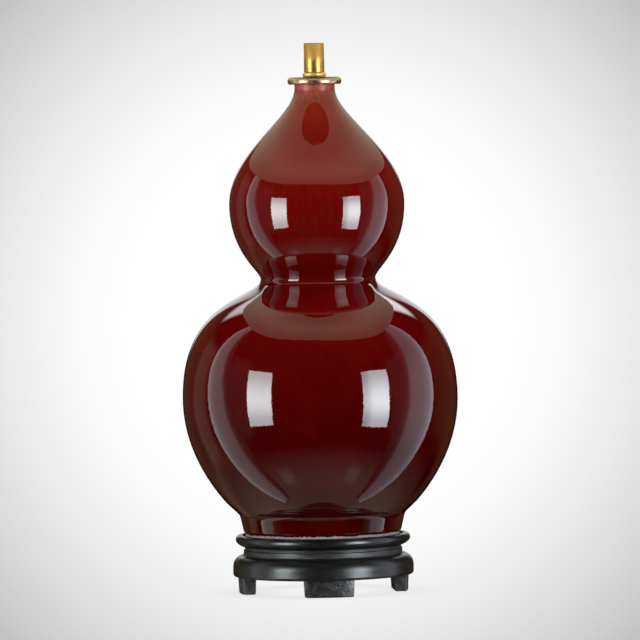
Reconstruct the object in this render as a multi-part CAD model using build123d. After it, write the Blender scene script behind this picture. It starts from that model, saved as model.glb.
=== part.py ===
from build123d import *
from math import cos, radians, sin, tan
import os

# Double gourd table lamp base, in millimetres. It stands on z = 0, its axis is Z and its front faces -Y.
# Heights are counted up from the piece below, and screw threads are plain cylinders.
# A reach is the length of a curve's tangent handle.

# Feet: four blocks under the wooden stand's skirt
foot_height = 13.3
foot_width = 39.4
foot_depth = 13.0
foot_inset = 4.0           # their turned outer face, in from the skirt's widest line
foot_draft = 3.0           # degrees that the faces lean in on the way down
foot_turn = 4.2            # degrees that each foot stands round from its own side
foot_edge = 0.9

# Dowels, two to a foot
dowel_radius = 2.5
dowel_in_foot = 7.5
dowel_in_skirt = 9.5
dowel_spacing = 19.0

# Skirt: the bulged ring at the bottom of the stand
skirt_height = 16.6
skirt_overhang = 8.7       # past the waist outside
skirt_ledge = 2.0          # past the waist inside
skirt_belly = 6.8          # height of the widest line
skirt_corner = 2.2

# Waist: the plain band above the skirt
waist_height = 6.8
waist_width = 12.8
waist_cove = 2.0
waist_flare = 1.0

# Rim: the turned disc that carries the gourd
rim_height = 9.3
rim_lip = 5.2              # width of the edge outside the recess
rim_overhang = 6.1         # past the waist
rim_undercut = 5.6         # height of the rounded underside
rim_fullness = 0.35
rim_edge = 2.0
recess_gap = 2.9           # round the gourd's foot ring
recess_depth = 2.0

# Wood screws, up through skirt and waist into the rim
screw_count = 4
screw_turn = 45.0          # degrees from a foot to the next screw
screw_radius = 2.0
screw_cover = 1.7          # wood left between a screw's point and the recess
screw_point = 5.0
screw_head_radius = 3.9
screw_head_height = 2.6
screw_slot_length = 4.2
screw_slot_width = 0.9
screw_slot_depth = 1.4

# Felt ring under the gourd
felt_thickness = 1.0

# Gourd: hollow stoneware, glazed above its foot ring
wall = 5.5
ring_radius = 60.8
ring_width = 10.8
ring_depth = 4.0
ring_chamfer = 0.8
glaze_height = 3.0         # where the glaze ends
glaze_thickness = 0.4
collar_step = 1.1          # glazed collar's lower end, past the foot ring
collar_spread = 3.7        # from there to the corner where it meets the lower bulb
corner_height = 17.8
corner_angle = 46.0        # degrees that the bulb leaves the corner from upright
corner_reach = 21.2
corner_fillet = 2.0
floor_thickness = 8.0
floor_hole_gap = 3.1       # round the rod
lower_radius = 108.8
lower_height = 108.5
lower_reach_down = 43.6
lower_reach_up = 82.5
middle_radius = 45.4       # the waist between the bulbs
middle_rise = 94.7
middle_reach_down = 17.0
middle_reach_up = 7.5
upper_radius = 69.2
upper_rise = 58.6
upper_reach_down = 37.5
upper_reach_up = 41.5
neck_radius = 15.9
neck_rise = 91.2           # up to where the neck begins to stand upright
neck_reach = 21.5
lip_height = 6.8
mouth_edge = 0.9

# Rubber bush that centres the rod in the neck
bush_flange_thickness = 1.0
bush_flange_inset = 0.6
bush_depth = 12.0
bush_gap = 0.2
bush_taper = 1.0

# Vase cap: turned brass, with a rounded edge that hides the mouth
cap_height = 5.8
cap_overhang = 5.35        # past the neck
cap_thickness = 1.2
cap_edge_thickness = 2.7
cap_shoulder = 3.2         # width of the rounding above the widest line
cap_belly = 2.3            # height of the widest line
cap_lower_edge = 1.8       # width of the rounding below it

# Ring nut on the cap
ring_nut_height = 3.6
ring_nut_overhang = 1.4    # past the spigot
ring_nut_bead = 1.2

# Spigot: brass tube with a thread at each end and a web between them
spigot_height = 23.2
spigot_radius = 8.0
spigot_thread_depth = 11.0
spigot_edge = 0.4
spigot_chamfer = 0.5

# Threaded rod, M10 x 1, and what clamps it under the stand
rod_radius = 4.9
rod_bore = 4.0
rod_chamfer = 0.4
rod_end_gap = 0.3          # between the rod and the spigot's web
washer_radius = 15.0
washer_thickness = 1.5
spring_radius = 9.0
spring_thickness = 2.2
spring_slot = 1.2
spring_slot_lean = 25.0    # degrees
nut_across_flats = 14.0
nut_height = 4.0
nut_chamfer = 0.6

# Nylon cap on the rod's lower end, where the flex comes in
end_cap_side = 1.6
end_cap_grip = 6.0
end_cap_base = 3.0
end_cap_gap = 1.0          # between it and the nut
end_cap_hole = 3.6
end_cap_mouth = 0.6
end_cap_edge = 0.8

# Clearances, on the radius
thread_clearance = 0.1
hole_clearance = 0.3
wood_clearance = 0.05

# A handle is about this share of the radius of the bend that it draws, so on the
# inside of a wall it is longer or shorter by this share of the wall's thickness.
handle_share = 0.55

# Radii that follow from the foot ring, the neck, the spigot and the rod
rod_hole = rod_radius + hole_clearance
thread_hole = rod_radius + thread_clearance
floor_hole_radius = rod_radius + floor_hole_gap
collar_radius = ring_radius + collar_step
corner_radius = collar_radius + collar_spread
ring_bore = ring_radius - ring_width
recess_radius = ring_radius + recess_gap
rim_radius = recess_radius + rim_lip
waist_radius = rim_radius - rim_overhang
waist_bore = waist_radius - waist_width
skirt_radius = waist_radius + skirt_overhang
skirt_bore = waist_bore - skirt_ledge
foot_radius = skirt_radius - foot_inset
screw_circle = (waist_radius + waist_bore) / 2
cap_radius = neck_radius + cap_overhang
ring_nut_radius = spigot_radius + ring_nut_overhang
end_cap_radius = thread_hole + end_cap_side

# Lengths that follow from what they pass through
dowel_length = dowel_in_foot + dowel_in_skirt
screw_length = skirt_height + waist_height + rim_height - recess_depth - screw_cover

# Heights above the table
waist_bottom = foot_height + skirt_height
rim_bottom = waist_bottom + waist_height
rim_top = rim_bottom + rim_height
recess_floor = rim_top - recess_depth
gourd_bottom = recess_floor + felt_thickness
lower_level = gourd_bottom + lower_height
middle_level = lower_level + middle_rise
upper_level = middle_level + upper_rise
neck_level = upper_level + neck_rise
mouth_top = neck_level + lip_height
cap_ceiling = mouth_top + bush_flange_thickness
cap_top = cap_ceiling + cap_thickness
spigot_bottom = cap_top + ring_nut_height
spigot_top = spigot_bottom + spigot_height
rod_top = spigot_bottom + spigot_thread_depth - rod_end_gap
spring_top = rim_bottom - washer_thickness
nut_top = spring_top - spring_thickness
nut_bottom = nut_top - nut_height
rod_bottom = nut_bottom - end_cap_gap - end_cap_grip


def turned(outline):
    """Turns a closed outline, drawn as radius and height, about the lamp's axis."""
    return revolve(Plane.XZ * make_face(outline), Axis.Z)


def turned_ring(inner, outer, bottom, top):
    """A ring of square section about the lamp's axis."""
    return turned(Polyline((inner, bottom), (outer, bottom), (outer, top), (inner, top), close=True))


def ovolo(flat_end, upright_end, fullness=handle_share):
    """A quarter round that leaves flat_end level and reaches upright_end upright."""
    (r0, z0), (r1, z1) = flat_end, upright_end
    return Bezier((r0, z0), (r0 + (r1 - r0) * fullness, z0), (r1, z1 + (z0 - z1) * fullness), (r1, z1))


def s_curve(low, reach_up, high, reach_down):
    """A curve that is upright at both ends."""
    (r0, z0), (r1, z1) = low, high
    return Bezier((r0, z0), (r0, z0 + reach_up), (r1, z1 - reach_down), (r1, z1))


def around(count, start):
    """Turns about the lamp's axis for evenly spaced copies."""
    return [Rot(0, 0, start + 360 * index / count) for index in range(count)]


def make_dowels(radius):
    """The two upright dowels of the foot on +X, before it is turned to its place."""
    across = foot_radius - foot_depth / 2
    middle = foot_height - dowel_in_foot + dowel_length / 2
    dowel = Cylinder(radius, dowel_length)
    return [Pos(across, side * dowel_spacing / 2, middle) * dowel for side in (-1, 1)]


def make_foot():
    """The foot on +X: a block cut from a turned ring, whose faces lean in on the way down."""
    strip = Rectangle(2 * foot_depth, foot_width, align=(Align.MIN, Align.CENTER))
    plan = Pos(foot_radius - foot_depth, 0) * strip & Circle(foot_radius)
    foot = extrude(plan, amount=-foot_height, taper=foot_draft)
    below_top = foot.edges().filter_by(lambda edge: edge.center().Z < -foot_height / 4)
    foot = Pos(0, 0, foot_height) * fillet(below_top, foot_edge)
    return foot - make_dowels(dowel_radius + wood_clearance)


def make_screw(clearance=0.0):
    """The countersunk wood screw on +X, point up, its head flush with the skirt."""
    shank = screw_radius + clearance
    tip = screw_length + clearance
    outline = Polyline(
        (0, 0),
        (screw_head_radius + clearance, 0),
        (shank, screw_head_height),
        (shank, tip - screw_point),
        (0, tip),
        close=True,
    )
    return Pos(screw_circle, 0, foot_height) * turned(outline)


def make_screw_slots():
    """The cross recess in the head of the screw on +X."""
    slot = Box(screw_slot_length, screw_slot_width, 2 * screw_slot_depth)
    return Pos(screw_circle, 0, foot_height) * (slot + Rot(0, 0, 90) * slot)


# Right, back, left and front. The back foot is turned the other way, so it stands straight behind the front one.
foot_turns = [Rot(0, 0, angle) for angle in (foot_turn, 90 - foot_turn, 180 + foot_turn, 270 + foot_turn)]
screw_turns = around(screw_count, foot_turn + screw_turn)
screw_holes = [turn * make_screw(wood_clearance) for turn in screw_turns]
dowel_holes = [turn * dowel for turn in foot_turns for dowel in make_dowels(dowel_radius + wood_clearance)]


def make_skirt():
    """Quarter round above, nearly upright below, and a small rounded lower corner."""
    belly = foot_height + skirt_belly
    corner_top = foot_height + skirt_corner
    top_edge = waist_radius + waist_flare
    outline = Polyline(
        (top_edge, waist_bottom),
        (skirt_bore, waist_bottom),
        (skirt_bore, foot_height),
        (skirt_radius - skirt_corner, foot_height),
    )
    outline += ovolo((skirt_radius - skirt_corner, foot_height), (skirt_radius, corner_top))
    outline += Line((skirt_radius, corner_top), (skirt_radius, belly))
    outline += ovolo((top_edge, waist_bottom), (skirt_radius, belly))
    return turned(outline) - screw_holes - dowel_holes


def make_waist():
    """A plain band that spreads in a small cove onto the skirt."""
    cove_top = waist_bottom + waist_cove
    outline = Polyline(
        (waist_radius, cove_top),
        (waist_radius, rim_bottom),
        (waist_bore, rim_bottom),
        (waist_bore, waist_bottom),
        (waist_radius + waist_flare, waist_bottom),
    )
    outline += ovolo((waist_radius + waist_flare, waist_bottom), (waist_radius, cove_top))
    return turned(outline) - screw_holes


def make_rim():
    """A disc with a rounded underside, an upright edge and a recess for the gourd."""
    side_bottom = rim_bottom + rim_undercut
    side_top = rim_top - rim_edge
    outline = Line((rod_hole, rim_bottom), (waist_radius, rim_bottom))
    outline += ovolo((waist_radius, rim_bottom), (rim_radius, side_bottom), rim_fullness)
    outline += Line((rim_radius, side_bottom), (rim_radius, side_top))
    outline += ovolo((rim_radius - rim_edge, rim_top), (rim_radius, side_top))
    outline += Polyline(
        (rim_radius - rim_edge, rim_top),
        (recess_radius, rim_top),
        (recess_radius, recess_floor),
        (rod_hole, recess_floor),
        (rod_hole, rim_bottom),
    )
    return turned(outline) - screw_holes


def gourd_corner(inset):
    """Where the lower bulb starts above the collar, or that place inside the wall."""
    lean = radians(corner_angle)
    return corner_radius - inset * cos(lean), gourd_bottom + corner_height + inset * sin(lean)


def gourd_side(inset):
    """The gourd's side from the collar's corner to the neck, inset from the outside."""
    bend = handle_share * inset
    lean = radians(corner_angle)
    reach = corner_reach - bend
    corner_r, corner_z = gourd_corner(inset)
    lower = (lower_radius - inset, lower_level)
    middle = (middle_radius - inset, middle_level)
    upper = (upper_radius - inset, upper_level)
    neck = (neck_radius - inset, neck_level)
    side = Bezier(
        (corner_r, corner_z),
        (corner_r + reach * sin(lean), corner_z + reach * cos(lean)),
        (lower[0], lower[1] - lower_reach_down + bend),
        lower,
    )
    side += s_curve(lower, lower_reach_up - bend, middle, middle_reach_down + bend)
    side += s_curve(middle, middle_reach_up + bend, upper, upper_reach_down - bend)
    side += s_curve(upper, upper_reach_up - bend, neck, neck_reach + bend)
    return side


def make_gourd():
    """One hollow shell: foot ring, collar, two bulbs, neck, and a floor with a hole for the rod."""
    glaze_end = gourd_bottom + glaze_height
    under_floor = gourd_bottom + ring_depth
    floor_top = under_floor + floor_thickness
    inner_neck = neck_radius - wall
    inner_corner = gourd_corner(wall)
    floor_edge = inner_corner[0] - (inner_corner[1] - floor_top) * tan(radians(corner_angle))
    outline = gourd_side(0) + gourd_side(wall)
    outline += Polyline(
        gourd_corner(0),
        (collar_radius, glaze_end),
        (collar_radius - glaze_thickness, glaze_end),
        (ring_radius, gourd_bottom + ring_chamfer),
        (ring_radius - ring_chamfer, gourd_bottom),
        (ring_bore, gourd_bottom),
        (ring_bore, under_floor),
        (floor_hole_radius, under_floor),
        (floor_hole_radius, floor_top),
        (floor_edge, floor_top),
        inner_corner,
    )
    outline += Polyline(
        (neck_radius, neck_level),
        (neck_radius, mouth_top - mouth_edge),
        (neck_radius - mouth_edge, mouth_top),
        (inner_neck + mouth_edge, mouth_top),
        (inner_neck, mouth_top - mouth_edge),
        (inner_neck, neck_level),
    )
    gourd = turned(outline)
    circles = gourd.edges().filter_by(GeomType.CIRCLE)
    corner_r, corner_z = gourd_corner(0)
    corner = circles.sort_by(lambda edge: abs(edge.radius - corner_r) + abs(edge.center().Z - corner_z))[0]
    return fillet(corner, corner_fillet)


def make_neck_bush():
    """A plug in the neck, under a flange that lies on the mouth."""
    plug = neck_radius - wall - bush_gap
    bottom = mouth_top - bush_depth
    return turned(Polyline(
        (thread_hole, bottom),
        (plug - bush_taper, bottom),
        (plug, mouth_top),
        (neck_radius - bush_flange_inset, mouth_top),
        (neck_radius - bush_flange_inset, cap_ceiling),
        (thread_hole, cap_ceiling),
        close=True,
    ))


def make_vase_cap():
    """A flat disc whose edge rolls down past the mouth."""
    bottom = cap_top - cap_height
    belly = bottom + cap_belly
    inner_edge = cap_radius - cap_edge_thickness
    outline = ovolo((cap_radius - cap_shoulder, cap_top), (cap_radius, belly))
    outline += ovolo((cap_radius - cap_lower_edge, bottom), (cap_radius, belly))
    outline += Polyline(
        (cap_radius - cap_lower_edge, bottom),
        (inner_edge, bottom),
        (inner_edge, cap_ceiling),
        (rod_hole, cap_ceiling),
        (rod_hole, cap_top),
        (cap_radius - cap_shoulder, cap_top),
    )
    return turned(outline)


def make_ring_nut():
    """A ring with a half round edge."""
    flat = ring_nut_radius - ring_nut_bead
    middle = (ring_nut_radius, cap_top + ring_nut_height / 2)
    outline = ovolo((flat, cap_top), middle) + ovolo((flat, spigot_bottom), middle)
    outline += Polyline(
        (flat, cap_top),
        (thread_hole, cap_top),
        (thread_hole, spigot_bottom),
        (flat, spigot_bottom),
    )
    return turned(outline)


def make_spigot():
    """A tube with a threaded socket at each end: the rod's below, a lampholder's above."""
    return turned(Polyline(
        (thread_hole, spigot_bottom),
        (spigot_radius, spigot_bottom),
        (spigot_radius, spigot_top - spigot_edge),
        (spigot_radius - spigot_edge, spigot_top),
        (thread_hole + spigot_chamfer, spigot_top),
        (thread_hole, spigot_top - spigot_chamfer),
        (thread_hole, spigot_top - spigot_thread_depth),
        (rod_bore, spigot_top - spigot_thread_depth),
        (rod_bore, spigot_bottom + spigot_thread_depth),
        (thread_hole, spigot_bottom + spigot_thread_depth),
        close=True,
    ))


def make_threaded_rod():
    """The hollow rod through the whole stack."""
    return turned(Polyline(
        (rod_bore, rod_bottom),
        (rod_radius - rod_chamfer, rod_bottom),
        (rod_radius, rod_bottom + rod_chamfer),
        (rod_radius, rod_top - rod_chamfer),
        (rod_radius - rod_chamfer, rod_top),
        (rod_bore, rod_top),
        close=True,
    ))


def make_spring_washer():
    """A ring with a leaning slot through one side."""
    washer = turned_ring(thread_hole, spring_radius, nut_top, spring_top)
    slot = Box(2 * spring_radius, spring_slot, 3 * spring_thickness)
    middle = (nut_top + spring_top) / 2
    return washer - Pos(spring_radius, 0, middle) * Rot(spring_slot_lean, 0, 0) * slot


def make_rod_nut():
    """A hexagon nut with its corners turned off at both faces."""
    flat = nut_across_flats / 2
    corner = flat / cos(radians(30))
    hexagon = extrude(Pos(0, 0, nut_bottom) * RegularPolygon(flat, 6, major_radius=False), amount=nut_height)
    blank = turned(Polyline(
        (thread_hole, nut_bottom),
        (flat, nut_bottom),
        (corner, nut_bottom + nut_chamfer),
        (corner, nut_top - nut_chamfer),
        (flat, nut_top),
        (thread_hole, nut_top),
        close=True,
    ))
    return hexagon & blank


def make_rod_end_cap():
    """A cup on the rod's end, with a rounded hole for the flex."""
    bottom = rod_bottom - end_cap_base
    mouth = (end_cap_hole + end_cap_mouth, bottom)
    edge = (end_cap_radius - end_cap_edge, bottom)
    outline = ovolo(mouth, (end_cap_hole, bottom + end_cap_mouth))
    outline += Line(mouth, edge)
    outline += ovolo(edge, (end_cap_radius, bottom + end_cap_edge))
    outline += Polyline(
        (end_cap_radius, bottom + end_cap_edge),
        (end_cap_radius, rod_bottom + end_cap_grip),
        (thread_hole, rod_bottom + end_cap_grip),
        (thread_hole, rod_bottom),
        (end_cap_hole, rod_bottom),
        (end_cap_hole, bottom + end_cap_mouth),
    )
    return turned(outline)


pieces = {
    "foot_dowels": Part() + [turn * dowel for turn in foot_turns for dowel in make_dowels(dowel_radius)],
    "stand_skirt": make_skirt(),
    "stand_waist": make_waist(),
    "stand_rim": make_rim(),
    "stand_screws": Part() + [turn * (make_screw() - make_screw_slots()) for turn in screw_turns],
    "foot_felt": turned_ring(ring_bore, ring_radius - ring_chamfer, recess_floor, gourd_bottom),
    "gourd": make_gourd(),
    "neck_bush": make_neck_bush(),
    "vase_cap": make_vase_cap(),
    "ring_nut": make_ring_nut(),
    "spigot": make_spigot(),
    "threaded_rod": make_threaded_rod(),
    "penny_washer": turned_ring(rod_hole, washer_radius, spring_top, rim_bottom),
    "spring_washer": make_spring_washer(),
    "rod_nut": make_rod_nut(),
    "rod_end_cap": make_rod_end_cap(),
}
for name, turn in zip(("foot_right", "foot_back", "foot_left", "foot_front"), foot_turns):
    pieces[name] = turn * make_foot()

os.makedirs("parts", exist_ok=True)
for name, piece in pieces.items():
    export_step(piece, f"parts/{name}.step")
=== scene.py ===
# Double gourd lamp base: oxblood glazed body, brass fittings, black lacquered stand.
import math

import bmesh
import bpy
import numpy as np
from mathutils import Matrix, Vector


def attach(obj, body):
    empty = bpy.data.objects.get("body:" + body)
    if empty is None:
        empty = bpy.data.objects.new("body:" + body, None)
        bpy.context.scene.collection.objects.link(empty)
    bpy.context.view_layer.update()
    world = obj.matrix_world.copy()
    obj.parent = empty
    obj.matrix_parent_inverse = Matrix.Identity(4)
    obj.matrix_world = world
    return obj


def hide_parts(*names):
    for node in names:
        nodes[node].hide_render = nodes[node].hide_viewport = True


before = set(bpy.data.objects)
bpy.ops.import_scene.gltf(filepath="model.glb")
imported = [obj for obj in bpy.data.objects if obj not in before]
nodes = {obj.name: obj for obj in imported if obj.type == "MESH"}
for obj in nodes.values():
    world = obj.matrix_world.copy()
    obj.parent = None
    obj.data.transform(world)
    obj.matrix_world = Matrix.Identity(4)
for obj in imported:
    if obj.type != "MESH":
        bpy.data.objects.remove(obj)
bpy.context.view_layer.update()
mm = 0.001
turn = 2 * math.pi
noiseSpan = (0.3, 0.7)  # nearly all of a noise lies between these
print("frame loaded:", len(nodes), "nodes")


# Outlines are lists of radius and height, and a mesh is a grid of points that they lead to.

def bezier(p0, p1, p2, p3, steps):
    # cubic curve: the four points weighted by (1-t)^3, 3t(1-t)^2, 3t^2(1-t) and t^3
    t = np.linspace(0, 1, steps)[:, None]
    a, b, c, d = (np.array(p, float) for p in (p0, p1, p2, p3))
    return a * (1 - t) ** 3 + 3 * b * t * (1 - t) ** 2 + 3 * c * t ** 2 * (1 - t) + d * t ** 3


def sCurve(low, reachUp, high, reachDown, steps):
    # a cubic that is upright at both ends
    return bezier(low, (low[0], low[1] + reachUp), (high[0], high[1] - reachDown), high, steps)


def quarter(flatEnd, uprightEnd, fullness=0.55, steps=12):
    # a cubic that leaves flatEnd level and reaches uprightEnd upright
    (r0, z0), (r1, z1) = flatEnd, uprightEnd
    return bezier((r0, z0), (r0 + (r1 - r0) * fullness, z0), (r1, z1 + (z0 - z1) * fullness), (r1, z1), steps)


def softPath(corners, radius, steps=6, most=0.45):
    # a line through the corners; each inner one becomes a parabola, which is its two ends and the corner
    # weighted by (1-t)^2, t^2 and 2t(1-t), and takes no more than the share most of either side
    points = np.array(corners, float)
    path = [points[:1]]
    t = np.linspace(0, 1, steps)[:, None]
    for before, corner, after in zip(points[:-2], points[1:-1], points[2:]):
        lengthIn, lengthOut = np.linalg.norm(corner - before), np.linalg.norm(after - corner)
        into, out = (corner - before) / lengthIn, (after - corner) / lengthOut
        half = math.acos(np.clip(into @ out, -1, 1)) / 2
        reach = min(radius * math.tan(half), most * lengthIn, most * lengthOut)
        start, end = corner - into * reach, corner + out * reach
        path.append((1 - t) ** 2 * start + 2 * t * (1 - t) * corner + t ** 2 * end)
    path.append(points[-1:])
    return np.vstack(path)


def evenly(path, step):
    # the same path with its points no further apart than step
    parts = []
    for start, end in zip(path[:-1], path[1:]):
        gap = np.linalg.norm(end - start)
        if gap > 1e-6:
            share = np.linspace(0, 1, max(1, math.ceil(gap / step)), endpoint=False)[:, None]
            parts.append(start + (end - start) * share)
    return np.vstack(parts + [path[-1:]])


def ripple(points, size, seed, waves=9, shortest=0.6, longest=1.6):
    # smooth noise about 0: sines whose directions, lengths and phases are drawn from the seed, added up and
    # divided by the root of their number
    draw = np.random.default_rng(seed)
    total = np.zeros(points.shape[:-1])
    for _ in range(waves):
        way = draw.normal(size=points.shape[-1])
        way *= turn / (size * draw.uniform(shortest, longest)) / np.linalg.norm(way)
        total += np.sin(points @ way + draw.uniform(0, turn))
    return total / math.sqrt(waves)


def smooth(value, low, high):
    # 0 below low, 1 above high, and 3t^2 - 2t^3 between
    t = np.clip((value - low) / (high - low), 0, 1)
    return t * t * (3 - 2 * t)


def turnedGrid(profile, columns):
    # each profile point (radius, height) is carried round the lamp's axis
    angle = np.arange(columns) * turn / columns
    r, z = profile[:, :1], profile[:, 1:]
    return np.stack([r * np.cos(angle), r * np.sin(angle), z + 0 * angle], axis=-1)


def gridMesh(name, points, closeRows=True, closeColumns=True):
    # points is rows x columns x 3; each cell of the grid becomes a quad
    rows, columns = points.shape[:2]
    index = np.arange(rows * columns).reshape(rows, columns)
    if closeRows:
        index = np.vstack([index, index[:1]])
    if closeColumns:
        index = np.hstack([index, index[:, :1]])
    quads = np.stack([index[:-1, :-1], index[:-1, 1:], index[1:, 1:], index[1:, :-1]], axis=-1).reshape(-1, 4)
    mesh = bpy.data.meshes.new(name)
    mesh.vertices.add(rows * columns)
    mesh.vertices.foreach_set("co", points.astype(np.float32).ravel())
    mesh.loops.add(quads.size)
    mesh.loops.foreach_set("vertex_index", quads.astype(np.int32).ravel())
    mesh.polygons.add(len(quads))
    mesh.polygons.foreach_set("loop_start", np.arange(0, quads.size, 4, dtype=np.int32))
    mesh.update(calc_edges=True)
    mesh.polygons.foreach_set("use_smooth", np.ones(len(quads), bool))
    mesh.validate()
    piece = bpy.data.objects.new(name, mesh)
    bpy.context.scene.collection.objects.link(piece)
    return piece


def pointValues(piece, name, values):
    # one number for each point, which a material reads as an attribute
    data = piece.data.attributes.new(name, "FLOAT", "POINT").data
    data.foreach_set("value", values.astype(np.float32).ravel())


def dress(piece, material, replaced):
    # the piece takes the place of a plain solid
    piece.data.materials.append(material)
    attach(piece, "root")
    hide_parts(replaced)


# Materials are built from short calls, each of which adds one node and gives its socket.

def startMaterial(name):
    # gives the material, its node tree and the place on the piece
    material = bpy.data.materials.new(name)
    material.use_nodes = True
    tree = material.node_tree
    return material, tree, add(tree, "ShaderNodeTexCoord").outputs["Object"]


def finishMaterial(tree, body, polish, relief, others=None):
    # links the colour, roughness and relief, and sets the other inputs
    inputs = tree.nodes["Principled BSDF"].inputs
    for key, socket in (("Base Color", body), ("Roughness", polish), ("Normal", relief)):
        tree.links.new(socket, inputs[key])
    for key, value in (others or {}).items():
        inputs[key].default_value = value


def emptyTree(owner):
    # the node tree of a material or of the world, cleared
    owner.use_nodes = True
    owner.node_tree.nodes.clear()
    return owner.node_tree


def add(tree, kind, inputs=None, **settings):
    # one node, whose inputs are given as numbers, colours or other nodes' sockets
    made = tree.nodes.new(kind)
    for key, value in settings.items():
        setattr(made, key, value)
    for key, value in (inputs or {}).items():
        if isinstance(value, bpy.types.NodeSocket):
            tree.links.new(value, made.inputs[key])
        else:
            made.inputs[key].default_value = value
    return made


def calc(tree, operation, a, b=0.0):
    return add(tree, "ShaderNodeMath", {0: a, 1: b}, operation=operation).outputs[0]


def times(tree, a, b):
    return calc(tree, "MULTIPLY", a, b)


def fade(tree, value, fromLow, fromHigh, toLow=0.0, toHigh=1.0, shape="SMOOTHSTEP"):
    # goes from toLow to toHigh while the value goes from fromLow to fromHigh
    inputs = {0: value, 1: fromLow, 2: fromHigh, 3: toLow, 4: toHigh}
    return add(tree, "ShaderNodeMapRange", inputs, interpolation_type=shape).outputs[0]


def blend(tree, share, a, b):
    return add(tree, "ShaderNodeMix", {0: share, 6: a, 7: b}, data_type="RGBA").outputs[2]


def noise(tree, where, scale, detail=2.0, roughness=0.5, distortion=0.0):
    numbers = {"Scale": scale, "Detail": detail, "Roughness": roughness, "Distortion": distortion}
    return add(tree, "ShaderNodeTexNoise", {"Vector": where} | numbers).outputs["Fac"]


def curve(tree, value, steps):
    # a smooth curve through the steps, which are pairs of value and result
    made = add(tree, "ShaderNodeFloatCurve", {"Value": value})
    points = made.mapping.curves[0].points
    points[0].location, points[1].location = steps[0], steps[-1]
    for step in steps[1:-1]:
        points.new(*step)
    made.mapping.update()
    return made.outputs[0]


def stretched(tree, where, scale):
    return add(tree, "ShaderNodeMapping", {"Vector": where, "Scale": scale}).outputs[0]


def split(tree, vector):
    return add(tree, "ShaderNodeSeparateXYZ", {0: vector}).outputs


def attribute(tree, name):
    return add(tree, "ShaderNodeAttribute", attribute_name=name).outputs["Fac"]


def bump(tree, height, distance, normal=None):
    inputs = {"Height": height, "Distance": distance, "Strength": 1.0}
    if normal is not None:
        inputs["Normal"] = normal
    return add(tree, "ShaderNodeBump", inputs).outputs[0]


def colour(r, g, b):
    return (r, g, b, 1.0)


def turnedPlace(tree, where, angleShare):
    # radius, a share of the angle, and height, about the lamp's axis: a noise there runs round turned work
    x, y, z = split(tree, where)
    radius = calc(tree, "SQRT", calc(tree, "ADD", times(tree, x, x), times(tree, y, y)))
    angle = times(tree, calc(tree, "ARCTAN2", y, x), angleShare)
    return add(tree, "ShaderNodeCombineXYZ", {0: radius, 1: angle, 2: z}).outputs[0]


glaze = {
    # height above the table in metres and the glaze's colour there: pale where the glaze thins at the neck,
    # lighter on the upper bulb and darker towards the foot, which is partly the glaze and partly painted
    # light and shade
    "byHeight": [
        (0.060, (0.042, 0.0006, 0.0006)), (0.100, (0.050, 0.0006, 0.0006)), (0.150, (0.064, 0.0007, 0.0007)),
        (0.200, (0.074, 0.0008, 0.0008)), (0.238, (0.070, 0.0008, 0.0008)), (0.252, (0.100, 0.0010, 0.0009)),
        (0.285, (0.130, 0.0014, 0.0012)), (0.330, (0.125, 0.0018, 0.0015)), (0.365, (0.100, 0.0030, 0.0018)),
        (0.388, (0.165, 0.012, 0.005)), (0.397, (0.290, 0.040, 0.019)), (0.404, (0.600, 0.120, 0.070)),
    ],
    "drift": 0.02, "driftScale": 14.0,
    "brown": colour(0.082, 0.009, 0.0035), "glow": colour(0.150, 0.0030, 0.0020),
    "clay": colour(0.46, 0.41, 0.38), "clayDark": colour(0.22, 0.18, 0.165), "clayRoughness": 0.85,
    "upperFrom": (0.24, 0.29),  # the upper bulb begins between these heights, and is more mottled
    # a noise is its scale, detail and roughness; shares are those below and above the waist
    "cloud": (30.0, 3.0), "cloudSpan": (0.4, 0.75), "cloudShare": 0.18,
    "runs": (420.0, 3.0, 0.6), "runStretch": (1.0, 1.0, 0.16), "runSpan": (0.42, 0.70),
    "runShares": (0.12, 0.55), "neckRuns": 0.2,
    "flecks": (900.0, 3.0, 0.7), "fleckSpan": (0.56, 0.74), "fleckShares": (0.05, 0.35),
    "grit": (1400.0, 4.0, 0.7), "gritDepth": 0.0002,
    "polish": (60.0, 2.0), "roughness": (0.03, 0.05),
    "neckFrom": (0.390, 0.400), "neckRoughness": 0.42,
    "peel": (190.0, 1.0), "peelDepth": 0.000024, "finePeel": (520.0, 1.0), "finePeelDepth": 0.0000048,
    "ior": 1.52,
}


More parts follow.
